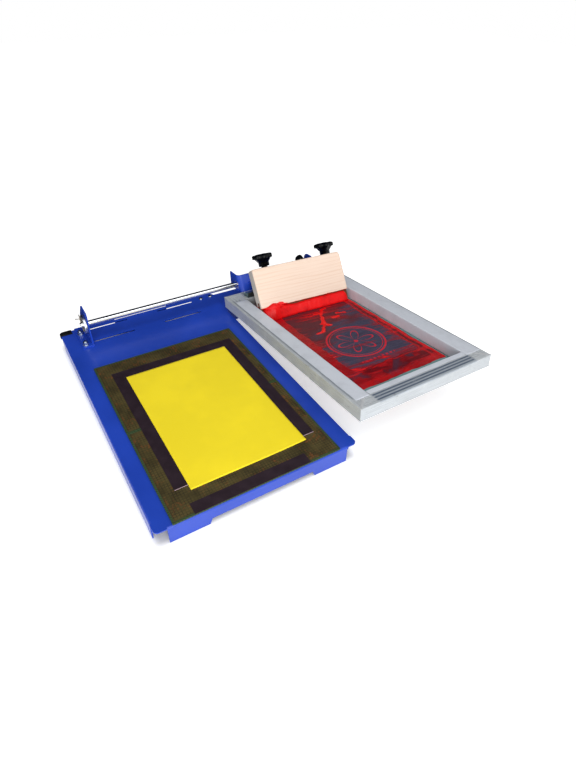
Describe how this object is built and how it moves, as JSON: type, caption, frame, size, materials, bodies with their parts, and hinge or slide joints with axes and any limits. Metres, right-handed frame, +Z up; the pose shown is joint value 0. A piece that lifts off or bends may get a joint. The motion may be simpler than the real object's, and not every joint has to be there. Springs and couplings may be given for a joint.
{
  "type": "tabletop screen printing press",
  "caption": "Flat steel bed with a rear shaft that carries a sliding and tilting clamp, which holds a screen printing frame beside the bed; squeegee in the screen.",
  "frame": {"origin": "centre of the whole press's footprint, on the bench surface", "axes": "+X along the shaft towards the parked screen, +Y from the operator's edge to the shaft, +Z up"},
  "size_m": [0.6816, 0.596, 0.1542],
  "materials": {
    "bed_paint": "satin blue powder coat",
    "collar_paint": "satin blue powder coat",
    "zinc_steel": "bright zinc plate",
    "zinc_bar": "dull zinc plate",
    "shaft_chrome": "hard chrome, polished",
    "collar_steel": "turned bright steel",
    "sleeve_steel": "drawn tube",
    "bronze": "turned bronze",
    "cap_rubber": "matte",
    "mat": "olive vinyl with a printed grid",
    "strip_film": "dark film, satin",
    "stock_card": "yellow card, uncoated",
    "frame_aluminium": "ribbed extrusion, brushed",
    "screen_fabric": "polyester mesh with emulsion and ink",
    "frame_tape": "pale tape",
    "knob_plastic": "moulded black",
    "squeegee_wood": "planed pine",
    "squeegee_rubber": "inked"
  },
  "bodies": {
    "base": {"bed_plate": "bed_paint", "extension_arm": "bed_paint", "arm_screws": "zinc_steel", "corner_cap": "cap_rubber", "front_cutting_mat": "mat", "rear_cutting_mat": "mat", "left_register_strip": "strip_film", "right_register_strip": "strip_film", "rear_register_strip": "strip_film", "front_register_strip": "strip_film", "stock_sheet": "stock_card", "slide_shaft": "shaft_chrome", "left_end_bracket": "bed_paint", "right_end_bracket": "bed_paint", "left_shaft_collar": "collar_steel", "right_shaft_collar": "collar_steel", "split_pins": "zinc_steel", "bracket_bolts": "zinc_steel", "bracket_nuts": "zinc_steel"},
    "slider": {"slide_sleeve": "sleeve_steel", "lock_collar": "collar_paint"},
    "lock_shoe": {"lock_shoe": "bronze"},
    "lock_screw": {"lock_stud": "zinc_steel", "lock_knob": "knob_plastic"},
    "screen_holder": {"carriage_bracket": "bed_paint", "left_bush": "bronze", "right_bush": "bronze", "lower_jaw": "bed_paint", "clamp_bridge": "bed_paint", "front_rail": "frame_aluminium", "rear_rail": "frame_aluminium", "left_rail": "frame_aluminium", "right_rail": "frame_aluminium", "screen_mesh": "screen_fabric", "left_tape": "frame_tape", "right_tape": "frame_tape", "front_tape": "frame_tape"},
    "clamp_bar": {"pressure_bar": "zinc_bar"},
    "left_clamp": {"left_clamp_screw": "zinc_steel", "left_star_knob": "knob_plastic"},
    "right_clamp": {"right_clamp_screw": "zinc_steel", "right_star_knob": "knob_plastic"},
    "squeegee": {"squeegee_handle": "squeegee_wood", "squeegee_blade": "squeegee_rubber"}
  },
  "joints": [
    {"name": "carriage_slide", "type": "slide", "parent": "base", "child": "slider", "axis": [1, 0, 0], "range_m": [-0.33, 0.005]},
    {"name": "screen_tilt", "type": "hinge", "parent": "slider", "child": "screen_holder", "pos_m": [0.1701, 0.24138, 0.0735], "axis": [-1, 0, 0], "range_deg": [-5, 50]},
    {"name": "clamp_slide", "type": "slide", "parent": "screen_holder", "child": "clamp_bar", "axis": [0, 0.3939, 0.9191], "range_m": [0, 0.006]},
    {"name": "left_knob_turn", "type": "hinge", "parent": "clamp_bar", "child": "left_clamp", "pos_m": [0.1213, 0.1863, 0.06847], "axis": [0, 0.3939, 0.9191], "range_deg": [0, 1740]},
    {"name": "right_knob_turn", "type": "hinge", "parent": "clamp_bar", "child": "right_clamp", "pos_m": [0.2904, 0.1863, 0.06847], "axis": [0, 0.3939, 0.9191], "range_deg": [0, 1740]},
    {"name": "lock_shoe_slide", "type": "slide", "parent": "slider", "child": "lock_shoe", "axis": [0, 0.9563, 0.2924], "range_m": [0, 0.0015]},
    {"name": "lock_knob_turn", "type": "hinge", "parent": "lock_shoe", "child": "lock_screw", "pos_m": [0.2564, 0.2605, 0.07935], "axis": [0, 0.9563, 0.2924], "range_deg": [0, 545]},
    {"name": "squeegee_stroke", "type": "slide", "parent": "screen_holder", "child": "squeegee", "axis": [0, -0.9959, 0.0906], "range_m": [0, 0.3]}
  ],
  "couplings": [
    {"joint": "left_knob_turn", "follows": "clamp_slide", "rad_per_m": 5026.5},
    {"joint": "right_knob_turn", "follows": "clamp_slide", "rad_per_m": 5026.5},
    {"joint": "lock_knob_turn", "follows": "lock_shoe_slide", "rad_per_m": 6283.2}
  ]
}
